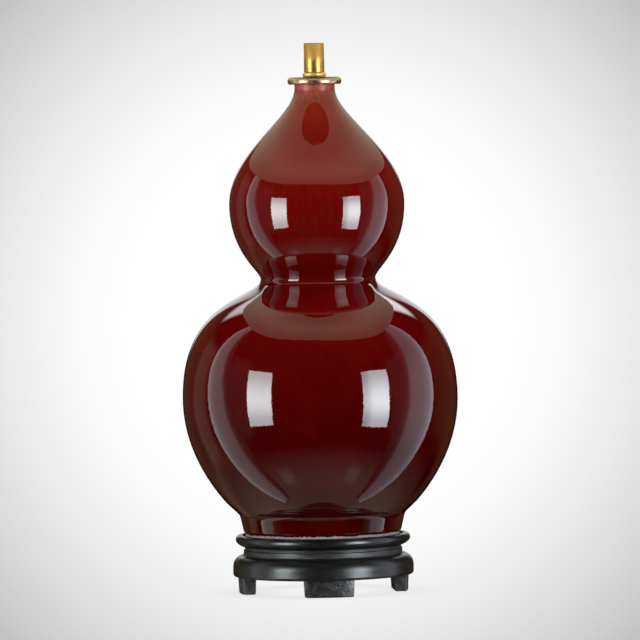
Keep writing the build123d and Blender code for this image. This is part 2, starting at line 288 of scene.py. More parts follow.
def makeGlaze():
    material, tree, where = startMaterial("oxbloodGlaze")
    z = split(tree, where)[2]
    # the colour by height is partly painted light and shade: lighter up the upper bulb, darker downwards
    byHeight = glaze["byHeight"]
    low, high = byHeight[0][0], byHeight[-1][0]
    middling = calc(tree, "SUBTRACT", noise(tree, where, glaze["driftScale"]), 0.5)
    drifted = calc(tree, "ADD", z, times(tree, middling, glaze["drift"]))
    shade = add(tree, "ShaderNodeValToRGB", {0: fade(tree, drifted, low, high, shape="LINEAR")})
    stops = shade.color_ramp.elements
    stops[0].color, stops[1].color = colour(*byHeight[0][1]), colour(*byHeight[-1][1])
    for level, tone in byHeight[1:-1]:
        stops.new((level - low) / (high - low)).color = colour(*tone)
    upper = fade(tree, z, *glaze["upperFrom"])
    cloud = fade(tree, noise(tree, where, *glaze["cloud"]), *glaze["cloudSpan"], 0.0, glaze["cloudShare"])
    body = blend(tree, cloud, shade.outputs[0], glaze["glow"])
    # the glaze ran down a little, which shows least round the neck
    runs = noise(tree, stretched(tree, where, glaze["runStretch"]), *glaze["runs"])
    streak = fade(tree, runs, *glaze["runSpan"])
    streak = times(tree, streak, fade(tree, upper, 0.0, 1.0, *glaze["runShares"]))
    streak = times(tree, streak, fade(tree, z, *glaze["neckFrom"], 1.0, glaze["neckRuns"]))
    body = blend(tree, streak, body, glaze["brown"])
    flecks = fade(tree, noise(tree, where, *glaze["flecks"]), *glaze["fleckSpan"])
    speck = times(tree, flecks, fade(tree, upper, 0.0, 1.0, *glaze["fleckShares"]))
    body = blend(tree, speck, body, glaze["glow"])
    bare = attribute(tree, "bareClay")
    grit = noise(tree, where, *glaze["grit"])
    clay = blend(tree, fade(tree, grit, *noiseSpan), glaze["clay"], glaze["clayDark"])
    body = blend(tree, bare, body, clay)
    polish = fade(tree, noise(tree, where, *glaze["polish"]), *noiseSpan, *glaze["roughness"])
    polish = fade(tree, z, *glaze["neckFrom"], polish, glaze["neckRoughness"])  # thin and dry round the mouth
    polish = fade(tree, bare, 0.0, 1.0, polish, glaze["clayRoughness"], "LINEAR")
    relief = bump(tree, noise(tree, where, *glaze["peel"]), glaze["peelDepth"])
    relief = bump(tree, noise(tree, where, *glaze["finePeel"]), glaze["finePeelDepth"], relief)
    relief = bump(tree, times(tree, grit, bare), glaze["gritDepth"], relief)
    finishMaterial(tree, body, polish, relief, {"IOR": glaze["ior"]})
    return material


gourd = {  # millimetres, radius and height above the table
    "wall": 5.5, "bottom": 45.0, "ringBore": 50.0, "ringRadius": 60.6, "ringRound": 0.8,
    "floorHole": 8.0, "underFloor": 49.0, "floorTop": 57.0, "floorCorner": 4.0, "floorRound": 1.5,
    # the clay steps back below the glaze, whose edge is a roll: out from the collar, up from the glaze's end
    "glazeEnd": 47.3, "glazeStep": 1.6, "clayLip": 0.25,
    "roll": [(-1.50, 0.0), (-1.00, 0.35), (-0.45, 1.0), (-0.10, 1.8), (0.15, 2.7), (0.38, 3.7), (0.60, 4.8)],
    "collarRadius": 62.5, "corner": (65.4, 61.9),
    "cornerAngle": 53.0, "cornerReach": 15.5, "cornerRound": 8.0,
    "lower": (108.8, 153.5), "lowerReach": (46.3, 81.0),
    "middle": (45.4, 248.2), "middleReach": (15.0, 6.0),
    "upper": (69.2, 306.8), "upperReach": (38.0, 41.5),
    "neck": (15.9, 398.0), "neckReach": 21.5, "mouthTop": 404.8, "mouthRound": 0.9,
    # how finely it is cut: rows in each cubic, rows of the side that the rounded corner takes, longest steps
    "sideRows": (46, 66, 52, 62), "cornerRows": 9, "cornerSteps": 14, "innerFrom": 6, "innerEvery": 4,
    "clayStep": 3.0, "rollStep": 1.0, "collarStep": 1.6, "floorStep": 4.0, "columns": 252,
    # how the glaze's edge wanders: size in radii, seed, waves and share of each ripple, then where it is felt
    "edgeRipples": [(0.045, 3, 14, 0.6), (0.4, 5, 9, 0.4)],
    "ragged": 0.55, "raggedFrom": 46.0, "raggedAbove": 0.2, "raggedSpread": 1.1, "raggedRows": 30,
    # the whole pot is a little out of round, but not where it meets the stand and the cap
    "wobble": 0.0018, "wobbleSize": 105.0, "wobbleSeed": 11,
    "wobbleFrom": 62.0, "wobbleTo": 396.0, "wobbleFade": 30.0,
}


def gourdSide():
    # the outside from the collar's corner to the neck: four cubics that meet upright
    lean = math.radians(gourd["cornerAngle"])
    start = gourd["corner"] + gourd["cornerReach"] * np.array([math.sin(lean), math.cos(lean)])
    lower, middle, upper, neck = gourd["lower"], gourd["middle"], gourd["upper"], gourd["neck"]
    rows = gourd["sideRows"]
    parts = [
        bezier(gourd["corner"], start, (lower[0], lower[1] - gourd["lowerReach"][0]), lower, rows[0]),
        sCurve(lower, gourd["lowerReach"][1], middle, gourd["middleReach"][0], rows[1])[1:],
        sCurve(middle, gourd["middleReach"][1], upper, gourd["upperReach"][0], rows[2])[1:],
        sCurve(upper, gourd["upperReach"][1], neck, gourd["neckReach"], rows[3])[1:],
    ]
    return np.vstack(parts)


def gourdProfile():
    # the closed outline: out below the floor, up the outside, over the mouth and down the inside, which is
    # the outside moved in by the wall along its normals; also gives how many of its first rows are clay
    side = gourdSide()
    along = np.gradient(side, axis=0)
    along /= np.linalg.norm(along, axis=1)[:, None]
    inner = (side - gourd["wall"] * np.stack([along[:, 1], -along[:, 0]], axis=1))[gourd["innerFrom"]:]
    clayRadius, end = gourd["collarRadius"] - gourd["glazeStep"], gourd["glazeEnd"]
    foot = softPath([
        (gourd["floorHole"], gourd["underFloor"]), (gourd["ringBore"], gourd["underFloor"]),
        (gourd["ringBore"], gourd["bottom"]), (gourd["ringRadius"], gourd["bottom"]),
        (clayRadius, end - gourd["clayLip"]), (clayRadius, end),
    ], gourd["ringRound"])
    roll = np.array(gourd["roll"]) + (gourd["collarRadius"], end)
    taken = gourd["cornerRows"]
    collar = softPath([roll[-1], gourd["corner"], side[taken]], gourd["cornerRound"], gourd["cornerSteps"])
    mouth = softPath([
        side[-1], (gourd["neck"][0], gourd["mouthTop"]), (inner[-1][0], gourd["mouthTop"]), inner[-1],
    ], gourd["mouthRound"])
    floor = softPath([
        inner[0], (inner[0][0] - gourd["floorCorner"], gourd["floorTop"]),
        (gourd["floorHole"], gourd["floorTop"]), (gourd["floorHole"], gourd["underFloor"]),
    ], gourd["floorRound"])
    clay = evenly(foot, gourd["clayStep"])
    profile = np.vstack([
        clay, evenly(roll, gourd["rollStep"]), evenly(collar, gourd["collarStep"])[1:], side[taken + 1:],
        mouth[1:], inner[::-1][1::gourd["innerEvery"]], evenly(floor, gourd["floorStep"])[1:-1],
    ])
    return profile, len(clay)


def makeGourd(material):
    # the outline turned about the axis; ripples move the glaze's edge up and down and swell the radius
    profile, clayRows = gourdProfile()
    rows = np.arange(len(profile))[:, None]
    grid = turnedGrid(profile, gourd["columns"])
    height = grid[..., 2].copy()
    facing = grid[..., :2] / np.linalg.norm(grid[..., :2], axis=-1, keepdims=True)
    edge = sum(share * ripple(facing, size, seed, waves) for size, seed, waves, share in gourd["edgeRipples"])
    near = np.exp(-((height - gourd["glazeEnd"] - gourd["raggedAbove"]) / gourd["raggedSpread"]) ** 2)
    outside = (height > gourd["raggedFrom"]) & (rows < clayRows + gourd["raggedRows"])
    grid[..., 2] += np.where(outside, near * edge * gourd["ragged"], 0.0)
    swell = gourd["wobble"] * ripple(grid, gourd["wobbleSize"], gourd["wobbleSeed"])
    swell *= np.clip((grid[..., 2] - gourd["wobbleFrom"]) / gourd["wobbleFade"], 0, 1)
    swell *= np.clip((gourd["wobbleTo"] - grid[..., 2]) / gourd["wobbleFade"], 0, 1)
    grid[..., :2] *= 1 + swell[..., None]
    piece = gridMesh("gourdBody", grid * mm)
    pointValues(piece, "bareClay", np.broadcast_to(rows < clayRows, grid.shape[:2]))
    dress(piece, material, "gourd")


makeGourd(makeGlaze())
print("gourd made")


brass = {
    # each fitting's bright tone, dull tone, and roughness from and to
    "spigot": (colour(0.49, 0.285, 0.070), colour(0.40, 0.225, 0.050), (0.32, 0.38)),
    "nut": (colour(0.97, 0.67, 0.24), colour(0.86, 0.57, 0.19), (0.46, 0.54)),
    "cap": (colour(0.56, 0.37, 0.23), colour(0.42, 0.27, 0.16), (0.24, 0.32)),
    "tarnish": (160.0, 2.0, 0.5), "tarnishSpan": (0.4, 0.75), "tarnishShare": 0.6,
    "polish": (500.0, 3.0), "satinRoughness": 0.74,
    "turnedAngle": 0.0004, "turnedMarks": (6000.0, 2.0), "turnedDepth": 0.000004,
}


def makeBrass(fitting, satinFrom=None):
    bright, dull, rough = brass[fitting]
    material, tree, where = startMaterial(fitting + "Brass")
    tarnish = noise(tree, where, *brass["tarnish"])
    tarnish = fade(tree, tarnish, *brass["tarnishSpan"], 0.0, brass["tarnishShare"])
    polish = fade(tree, noise(tree, where, *brass["polish"]), *noiseSpan, *rough)
    if satinFrom:
        start, end = satinFrom
        polish = fade(tree, split(tree, where)[2], start * mm, end * mm, polish, brass["satinRoughness"])
    marks = noise(tree, turnedPlace(tree, where, brass["turnedAngle"]), *brass["turnedMarks"])
    relief = bump(tree, marks, brass["turnedDepth"])
    finishMaterial(tree, blend(tree, tarnish, bright, dull), polish, relief, {"Metallic": 1.0})
    return material


spigot = {  # millimetres
    "bottom": 410.6, "top": 433.8, "radius": 8.0, "web": 4.0, "edge": 0.5, "innerEdge": 0.2,
    "satin": (418.5, 424.5),  # above this it is no longer polished
    "threadRadius": 5.0, "threadDepth": 11.0, "chamfer": 0.6, "pitch": 1.0,
    "threadHeight": 0.28, "crest": 0.8, "threadFade": 0.8, "threadRows": 140, "plainRows": 4,
    "step": 1.5, "columns": 192,
}


def makeSpigot(material):
    # a turned tube; the rows of its upper bore go out and in by a triangle wave that climbs one pitch a turn
    thread, bottom, top = spigot["threadRadius"], spigot["bottom"], spigot["top"]
    low, high, lowerEnd = top - spigot["threadDepth"], top - spigot["chamfer"], bottom + spigot["threadDepth"]
    outer = softPath([
        (thread, bottom), (spigot["radius"], bottom), (spigot["radius"], top),
        (thread + spigot["chamfer"], top), (thread, high),
    ], spigot["edge"])
    bore = np.linspace((thread, high), (thread, low), spigot["threadRows"])
    inner = softPath([
        (thread, low), (spigot["web"], low), (spigot["web"], lowerEnd), (thread, lowerEnd), (thread, bottom),
    ], spigot["innerEdge"])
    shown = evenly(outer, spigot["step"])
    profile = np.vstack([shown, bore[1:], evenly(inner[1:], spigot["step"])[:-1]])
    grid = turnedGrid(profile, spigot["columns"])
    rows = np.arange(len(profile))[:, None] - len(shown)
    inThread = (rows >= 0) & (rows < spigot["threadRows"] - spigot["plainRows"])
    phase = grid[..., 2] / spigot["pitch"] + np.arctan2(grid[..., 1], grid[..., 0]) / turn
    cut = np.abs(phase - np.floor(phase) - 0.5) * 2
    start = np.clip((high - grid[..., 2]) / spigot["threadFade"], 0, 1)
    relief = (cut - spigot["crest"]) * spigot["threadHeight"] / thread * start
    grid[..., :2] *= 1 + np.where(inThread, relief, 0.0)[..., None]
    dress(gridMesh("spigotTube", grid * mm), material, "spigot")


cap = {  # millimetres
    "bottom": 401.2, "top": 407.0, "radius": 21.25, "belly": 403.7, "shoulder": 2.3, "lowerEdge": 1.5,
    "innerEdge": 18.55, "ceiling": 405.8, "hole": 5.2, "innerRound": 0.35,
    "lowerSteps": 16, "upperSteps": 20, "step": 1.5, "columns": 256,
}


def makeCap(material):
    # a turned shallow cup with its mouth down; its edge is two cubics that meet upright at the belly
    widest, flatTop = (cap["radius"], cap["belly"]), (cap["radius"] - cap["shoulder"], cap["top"])
    lower = quarter((cap["radius"] - cap["lowerEdge"], cap["bottom"]), widest, steps=cap["lowerSteps"])
    upper = quarter(flatTop, widest, steps=cap["upperSteps"])[::-1]
    under = softPath([
        (cap["hole"], cap["top"]), (cap["hole"], cap["ceiling"]), (cap["innerEdge"], cap["ceiling"]),
        (cap["innerEdge"], cap["bottom"]), lower[0],
    ], cap["innerRound"])
    over = evenly(np.array([flatTop, (cap["hole"], cap["top"])]), cap["step"])
    profile = np.vstack([evenly(under, cap["step"]), lower[1:], upper[1:], over[1:-1]])
    piece = gridMesh("vaseCap", turnedGrid(profile, cap["columns"]) * mm)
    dress(piece, material, "vase_cap")


ringNut = {  # millimetres
    "bottom": 407.0, "top": 410.6, "radius": 9.4, "bead": 1.2, "hole": 5.0, "innerRound": 0.2,
    "step": 1.2, "columns": 192,
}


def makeRingNut(material):
    # a turned bead: two cubics that meet upright half way up, round a plain bore
    bottom, top, hole, radius = ringNut["bottom"], ringNut["top"], ringNut["hole"], ringNut["radius"]
    flat, middle = radius - ringNut["bead"], (radius, (bottom + top) / 2)
    lower = quarter((flat, bottom), middle)
    upper = quarter((flat, top), middle)[::-1]
    bore = softPath([upper[-1], (hole, top), (hole, bottom), lower[0]], ringNut["innerRound"])
    profile = np.vstack([lower, upper[1:], evenly(bore, ringNut["step"])[1:-1]])
    piece = gridMesh("ringNut", turnedGrid(profile, ringNut["columns"]) * mm)
    dress(piece, material, "ring_nut")


makeSpigot(makeBrass("spigot", spigot["satin"]))
makeRingNut(makeBrass("nut"))
makeCap(makeBrass("cap"))
print("brass made")


lacquer = {
    "black": colour(0.0030, 0.0030, 0.0033), "worn": colour(0.012, 0.0118, 0.0115),
    "rubbedGrey": colour(0.055, 0.055, 0.057), "dusty": colour(0.050, 0.049, 0.053),
    # the chip's pale tone is partly bare wood and partly a painted highlight
    "paleChipHighlight": colour(0.62, 0.58, 0.52), "dustyRoughness": 0.55,
    # roughness from and to
    "rim": (0.24, 0.34), "waist": (0.38, 0.50), "skirt": (0.27, 0.38), "cut": (0.12, 0.34),
    "turnedAngle": 0.004, "cutStretch": (0.25, 0.25, 1.0),
    "grain": (900.0, 4.0, 0.65), "wornSpan": (0.4, 0.8), "blots": (150.0, 3.0, 0.6, 1.0),
    # depths of grain and blots, in metres
    "turnedDepths": (0.00002, 0.00003), "cutDepths": (0.00004, 0.00018),
    "wetSpan": (0.45, 0.6), "wetShare": 0.6, "dustSpan": (0.35, 0.6), "dustShare": 0.55,
}


def makeLacquer(name, rough, worn="worn", turnedWork=True):
    # black lacquer whose grain runs round turned work, or on a cut block wet in blots, dusty, and with a pale
    # chip that is partly bare wood and partly a painted highlight
    material, tree, where = startMaterial(name)
    if turnedWork:
        lines = turnedPlace(tree, where, lacquer["turnedAngle"])
        grainDepth, blotDepth = lacquer["turnedDepths"]
    else:
        lines = stretched(tree, where, lacquer["cutStretch"])
        grainDepth, blotDepth = lacquer["cutDepths"]
    grain = noise(tree, lines, *lacquer["grain"])
    blots = noise(tree, where, *lacquer["blots"])
    body = blend(tree, fade(tree, grain, *lacquer["wornSpan"]), lacquer["black"], lacquer[worn])
    polish = fade(tree, grain, *noiseSpan, *rough)
    if not turnedWork:
        polish = times(tree, polish, fade(tree, blots, *lacquer["wetSpan"], 1.0, lacquer["wetShare"]))
        kept = fade(tree, blots, *lacquer["dustSpan"], 1.0, lacquer["dustShare"])
        dust = times(tree, attribute(tree, "dusty"), kept)
        body = blend(tree, dust, body, lacquer["dusty"])
        # a pale chip on the left foot: partly bare wood, partly a painted highlight
        body = blend(tree, attribute(tree, "paleChipHighlightMask"), body, lacquer["paleChipHighlight"])
        polish = fade(tree, dust, 0.0, 1.0, polish, lacquer["dustyRoughness"], "LINEAR")
    finishMaterial(tree, body, polish, bump(tree, blots, blotDepth, bump(tree, grain, grainDepth)))
    return material


stand = {  # millimetres, radius and height above the table
    "skirtBottom": 13.3, "skirtBore": 48.0, "skirtRadius": 71.5, "skirtFlat": 3.0, "corner": 2.2,
    "belly": 20.1, "bellySteps": 40, "skirtTop": 29.9, "ledge": 63.8,
    "waistBore": 50.0, "waistRadius": 62.9, "coveTop": 31.5, "bandTop": 34.1, "bandEdge": 0.45,
    "groove": (0.3, 0.5), "neckRadius": 62.1, "rimBottom": 36.7,
    "rimRadius": 68.9, "underTop": 41.7, "underFullness": 0.35, "sideTop": 42.5, "lipRound": 3.1,
    "rimTop": 46.0, "rimSteps": 24, "recess": 63.7, "recessFloor": 44.0, "recessEdge": 0.5,
    "rodHole": 5.2, "hair": 0.1,
    # the longest steps where it shows and where it doesn't, and the unevenness of the turning
    "fine": 0.28, "coarse": 2.5, "columns": 480,
    "uneven": 0.12, "unevenSize": 60.0, "unevenStretch": (1, 1, 3.0),
    "marks": 0.010, "markSize": 1.3, "markWaves": 14, "seeds": {"skirt": 21, "waist": 31, "rim": 41},
}


def turnedWood(part, outside, hidden, material):
    # outside is the outline that shows, from below upwards, and hidden leads from its end back to its start;
    # each row that shows goes out or in by a hair, which is a ripple of the distance along the outline
    seed = stand["seeds"][part]
    shown = evenly(outside, stand["fine"])
    rest = evenly(np.vstack([shown[-1:], hidden, shown[:1]]), stand["coarse"])[1:-1]
    profile = np.vstack([shown, rest])
    along = np.linspace(0, 1, len(shown))[:, None] * len(shown) * stand["fine"]
    marks = ripple(along, stand["markSize"], seed, stand["markWaves"]) * stand["marks"]
    grid = turnedGrid(profile, stand["columns"])
    swell = stand["uneven"] * ripple(grid * stand["unevenStretch"], stand["unevenSize"], seed + 1)
    swell[:len(shown)] += marks[:, None]
    swell[len(shown):] = 0.0
    grid[..., :2] *= (1 + swell / np.linalg.norm(grid[..., :2], axis=-1))[..., None]
    dress(gridMesh("stand" + part.capitalize(), grid * mm), material, "stand_" + part)


def skirtOutline():
    # a small rounded corner below a belly, both cubics that meet upright
    bottom, radius, corner = stand["skirtBottom"], stand["skirtRadius"], stand["corner"]
    belly = quarter((stand["ledge"], stand["skirtTop"]), (radius, stand["belly"]), steps=stand["bellySteps"])
    return np.vstack([
        [(stand["skirtBore"] + stand["skirtFlat"], bottom)],
        quarter((radius - corner, bottom), (radius, bottom + corner)), belly[::-1],
    ])


def waistOutline():
    # a cove, then a band with a fine groove above it
    inward, upward = stand["groove"]
    band = [
        (stand["waistRadius"], stand["coveTop"] + stand["hair"]), (stand["waistRadius"], stand["bandTop"]),
        (stand["neckRadius"] - inward, stand["bandTop"] + upward), (stand["neckRadius"], stand["rimBottom"]),
    ]
    cove = quarter((stand["ledge"], stand["skirtTop"]), (stand["waistRadius"], stand["coveTop"]))
    return np.vstack([cove, softPath(band, stand["bandEdge"])])


def rimOutline():
    # a flared underside and a rounded lip, both cubics, then the recess that takes the gourd
    radius, top, lip, recess = stand["rimRadius"], stand["rimTop"], stand["lipRound"], stand["recess"]
    foot, steps = (stand["neckRadius"], stand["rimBottom"]), stand["rimSteps"]
    inside = [(radius - lip - stand["hair"], top), (recess, top), (recess, stand["recessFloor"])]
    return np.vstack([
        quarter(foot, (radius, stand["underTop"]), stand["underFullness"], steps),
        quarter((radius - lip, top), (radius, stand["sideTop"]), steps=steps)[::-1],
        softPath(inside, stand["recessEdge"]),
    ])


def makeStand():
    bores = {
        "skirt": [(stand["skirtBore"], stand["skirtTop"]), (stand["skirtBore"], stand["skirtBottom"])],
        "waist": [(stand["waistBore"], stand["rimBottom"]), (stand["waistBore"], stand["skirtTop"])],
        "rim": [(stand["rodHole"], stand["recessFloor"]), (stand["rodHole"], stand["rimBottom"])],
    }
    outlines = {"skirt": skirtOutline(), "waist": waistOutline(), "rim": rimOutline()}
    for part, outline in outlines.items():
        worn = "rubbedGrey" if part == "waist" else "worn"
        turnedWood(part, outline, bores[part], makeLacquer(part + "Black", lacquer[part], worn))


feet = {  # millimetres: the foot that points to +X, before it is turned to its place
    "top": 13.3, "inner": 54.5, "outer": 67.5, "halfWidth": 19.7, "draft": 3.0, "edge": 0.9,
    # turn in degrees, share of dust, dent (across, height, radius) and pale chip, partly a painted highlight
    # (out from inner, height, radius)
    "places": {
        "front": (-85.8, 0.5, (6.2, 8.4, 0.75), None),
        "right": (4.2, 0.75, None, None),
        "back": (85.8, 0.5, None, None),
        "left": (184.2, 1.0, None, (6.5, 12.4, 0.7)),
    },
    "dentDepth": 1.1, "faceFrom": 60.5, "paleChipHighlightEdge": 0.2,
    # cut by hand and thickly lacquered: slow swells and small lumps, which fade out at the foot's lower edge
    "uneven": 0.09, "unevenSize": 14.0, "lumps": 0.04, "lumpSize": 4.0, "lumpWaves": 14,
    "lumpsFrom": (0.3, 2.0), "around": 380, "arcSteps": 40, "arcEnd": 0.04, "edgeRows": 7, "wallRows": 40,
    "capShares": (0.0, 0.45, 0.8, 0.96), "firstSeed": 51, "seedStep": 10, "weldWithin": 1e-7,
}


def footPlan(inset):
    # seen from above: a straight inner face and ends, and an arc about the lamp's axis, all set in by inset
    radius, half, inner = feet["outer"] - inset, feet["halfWidth"] - inset, feet["inner"] + inset
    reach = math.asin(half / radius)
    inside = np.linspace(feet["arcEnd"] - reach, reach - feet["arcEnd"], feet["arcSteps"])
    sweep = np.concatenate([[-reach], inside, [reach]])
    arc = np.stack([radius * np.cos(sweep), radius * np.sin(sweep)], axis=1)
    path = softPath(np.vstack([[(inner, 0), (inner, -half)], arc, [(inner, half), (inner, 0)]]), feet["edge"])
    walked = np.concatenate([[0], np.cumsum(np.linalg.norm(np.diff(path, axis=0), axis=1))])
    spots = np.linspace(0, walked[-1], feet["around"], endpoint=False)
    return np.stack([np.interp(spots, walked, path[:, 0]), np.interp(spots, walked, path[:, 1])], axis=1)


def footWall():
    # the plan at each height, set in by the draft and a quarter circle below; also gives which way is out
    edge, top = feet["edge"], feet["top"]
    t = np.linspace(0, math.pi / 2, feet["edgeRows"])
    straight = np.linspace(edge, top, feet["wallRows"])[1:]
    heights = np.concatenate([edge * (1 - np.cos(t)), straight])
    rounding = np.concatenate([edge * (1 - np.sin(t)), np.zeros(len(straight))])
    insets = (top - heights) * math.tan(math.radians(feet["draft"])) + rounding
    plans = np.stack([footPlan(inset) for inset in insets])
    way = np.roll(plans, -1, axis=1) - np.roll(plans, 1, axis=1)
    outward = np.stack([way[..., 1], -way[..., 0]], axis=-1) / np.linalg.norm(way, axis=-1, keepdims=True)
    upward = np.broadcast_to(heights[:, None, None], plans.shape[:2] + (1,))
    return np.concatenate([plans, upward], axis=-1), outward


def closedFoot(wall):
    # the wall with its top and bottom closed by its end rows, drawn in towards the middle by shares
    middle = np.array([(feet["inner"] + feet["outer"]) / 2, 0, 0])
    shares = np.array(feet["capShares"])[:, None, None] * (1, 1, 0) + (0, 0, 1)
    under = middle + (wall[0] - middle) * shares
    over = middle + (wall[-1] - middle) * shares[::-1]
    return np.concatenate([under, wall, over])


def paleChipHighlightShare(grid, paleChipHighlight):
    # 1 within the pale chip's radius of its middle, on the end of the foot towards +Y; the chip is partly
    # bare wood and partly a painted highlight
    out, height, radius = paleChipHighlight
    near = -np.hypot(grid[..., 0] - feet["inner"] - out, grid[..., 2] - height)
    return smooth(near, -radius - feet["paleChipHighlightEdge"], -radius + feet["paleChipHighlightEdge"]) * (grid[..., 1] > 0)


def makeFoot(name, material, seed):
    # the wall pushed outwards by ripples and inwards by a bell-shaped dent, closed, and turned to its place
    angle, dust, dent, paleChipHighlight = feet["places"][name]
    wall, outward = footWall()
    push = feet["uneven"] * ripple(wall, feet["unevenSize"], seed)
    push += feet["lumps"] * ripple(wall, feet["lumpSize"], seed + 1, feet["lumpWaves"])
    push *= smooth(wall[..., 2], *feet["lumpsFrom"])
    if dent:
        across, height, radius = dent
        bell = np.exp(-((wall[..., 1] - across) ** 2 + (wall[..., 2] - height) ** 2) / radius ** 2)
        push -= feet["dentDepth"] * bell * (wall[..., 0] > feet["faceFrom"])
    wall[..., :2] += outward * push[..., None]
    grid = closedFoot(wall)
    a = math.radians(angle)
    turned = grid @ np.array([(math.cos(a), math.sin(a), 0), (-math.sin(a), math.cos(a), 0), (0, 0, 1)])
    piece = gridMesh("foot" + name.capitalize(), turned * mm, False, True)
    pointValues(piece, "dusty", np.full(grid.shape[:2], dust))
    pointValues(piece, "paleChipHighlightMask", paleChipHighlightShare(grid, paleChipHighlight) if paleChipHighlight else np.zeros(grid.shape[:2]))
    weld = bmesh.new()
    weld.from_mesh(piece.data)
    bmesh.ops.remove_doubles(weld, verts=weld.verts, dist=feet["weldWithin"])
    weld.to_mesh(piece.data)
    weld.free()
    dress(piece, material, "foot_" + name)


makeStand()
cutBlack = makeLacquer("cutBlack", lacquer["cut"], turnedWork=False)
for place, name in enumerate(feet["places"]):
    makeFoot(name, cutBlack, feet["firstSeed"] + feet["seedStep"] * place)
print("stand made")


# the plain parts inside keep their solids and are only painted
hardware = {
    "grain": (4.0, 0.6), "roughnessSpread": 0.12,
    # light and dark tone, the grain's scale, upright stretch and depth in metres, roughness, metal, and where
    "paints": {
        "zincPlate": (colour(0.66, 0.67, 0.66), colour(0.48, 0.49, 0.50), 700.0, 1.0, 0.00001, 0.28, 1.0,
                      ("stand_screws", "threaded_rod", "penny_washer", "spring_washer", "rod_nut")),
        "beech": (colour(0.62, 0.43, 0.25), colour(0.44, 0.28, 0.15), 300.0, 0.1, 0.00003, 0.6, 0.0,
                  ("foot_dowels",)),
        "felt": (colour(0.05, 0.05, 0.055), colour(0.02, 0.02, 0.022), 2500.0, 1.0, 0.0002, 0.9, 0.0,
                 ("foot_felt",)),
        "rubber": (colour(0.03, 0.03, 0.03), colour(0.02, 0.02, 0.02), 900.0, 1.0, 0.00003, 0.6, 0.0,
                   ("neck_bush",)),
        "nylon": (colour(0.03, 0.03, 0.032), colour(0.02, 0.02, 0.022), 600.0, 1.0, 0.00003, 0.38, 0.0,
                  ("rod_end_cap",)),
    },
}


def paintPlain(name, light, dark, scale, upright, depth, roughness, metallic, nodeNames):
    material, tree, where = startMaterial(name)
    grain = noise(tree, stretched(tree, where, (1.0, 1.0, upright)), scale, *hardware["grain"])
    body = blend(tree, fade(tree, grain, *noiseSpan), light, dark)
    polish = fade(tree, grain, *noiseSpan, roughness, roughness + hardware["roughnessSpread"])
    finishMaterial(tree, body, polish, bump(tree, grain, depth), {"Metallic": metallic})
    for nodeName in nodeNames:
        nodes[nodeName].data.materials.clear()
        nodes[nodeName].data.materials.append(material)


for name, paint in hardware["paints"].items():
    paintPlain(name, *paint)
print("hardware painted")


# The studio: sheets of light that only the gloss sees, soft lights for the matt share, a floor and the world.

def startPanelLight(name):
    # gives the material, its tree, and where a point lies across and along the sheet
    material = bpy.data.materials.new(name)
    tree = emptyTree(material)
    across, along = split(tree, add(tree, "ShaderNodeUVMap").outputs[0])[:2]
    return material, tree, across, along


def finishPanelLight(tree, tone, level):
    light = add(tree, "ShaderNodeEmission", {"Color": tone, "Strength": level})
    add(tree, "ShaderNodeOutputMaterial", {"Surface": light.outputs[0]})


def distanceFrom(tree, value, middle):
    return calc(tree, "ABSOLUTE", calc(tree, "SUBTRACT", value, middle))


panelFade = {"along": (0.0, 0.45), "across": (0.05, 0.45)}


def makePanelLight(name, tone, light, firstShare=1.0):
    # light that changes from the sheet's two ends to its middle, with a share of it along the first side
    ends, middle = light
    material, tree, across, along = startPanelLight(name)
    level = fade(tree, distanceFrom(tree, along, 0.5), *panelFade["along"], middle, ends)
    side = fade(tree, across, *panelFade["across"], firstShare, 1.0)
    finishPanelLight(tree, tone, times(tree, level, side))
    return material


def glossPanel(name, points, material):
    # a sheet whose UV map runs over the columns and up the rows of its grid
    piece = gridMesh(name, points, False, False)
    rows, columns = points.shape[:2]
    index = np.zeros(len(piece.data.loops), np.int32)
    piece.data.loops.foreach_get("vertex_index", index)
    place = np.stack([index % columns / (columns - 1), index // columns / (rows - 1)], axis=1)
    piece.data.uv_layers.new(name="UVMap").data.foreach_set("uv", place.astype(np.float32).ravel())
    piece.data.materials.append(material)
    piece.visible_camera = piece.visible_diffuse = piece.visible_shadow = False


# azimuths are in degrees from the front, towards +X; lengths are in metres
overheadRing = {
    "height": 0.487, "hole": (0.056, 0.071), "holeForward": 0.002,
    # places on the outer edge: azimuth, radius and height
    "edge": [
        (-130, 0.250, 0.443), (-100, 0.216, 0.425), (-62, 0.261, 0.462), (-35, 0.280, 0.480),
        (0, 0.294, 0.487), (35, 0.290, 0.475), (72, 0.253, 0.445), (100, 0.218, 0.418),
        (130, 0.232, 0.427), (180, 0.350, 0.440),
    ],
    "tone": colour(0.92, 1.0, 0.74), "light": (0.58, 0.90), "rows": 9, "columns": 145,
}


def threeTurns(a):
    # the waves of the ring's edge: a constant and the cosines and sines of one, two and three turns
    waves = [np.ones_like(a)]
    for turns in (1, 2, 3):
        waves += [np.cos(turns * a), np.sin(turns * a)]
    return np.stack(waves, axis=-1)


def makeOverheadRing():
    # an oval hole and an outer edge, which is the sum of waves that lies nearest to its given places
    edge = np.array(overheadRing["edge"], float)
    fit = np.linalg.lstsq(threeTurns(np.radians(edge[:, 0])), edge[:, 1:], rcond=None)[0]
    a = np.linspace(-math.pi, math.pi, overheadRing["columns"])
    radius, height = (threeTurns(a) @ fit).T
    outer = np.stack([np.sin(a) * radius, -np.cos(a) * radius, height], axis=-1)
    wide, deep = overheadRing["hole"]
    level = np.full_like(a, overheadRing["height"])
    hole = np.stack([np.sin(a) * wide, -np.cos(a) * deep - overheadRing["holeForward"], level], axis=-1)
    share = np.linspace(0, 1, overheadRing["rows"])[:, None, None]
    material = makePanelLight("overheadLight", overheadRing["tone"], overheadRing["light"])
    glossPanel("overheadRing", hole * (1 - share) + outer * share, material)


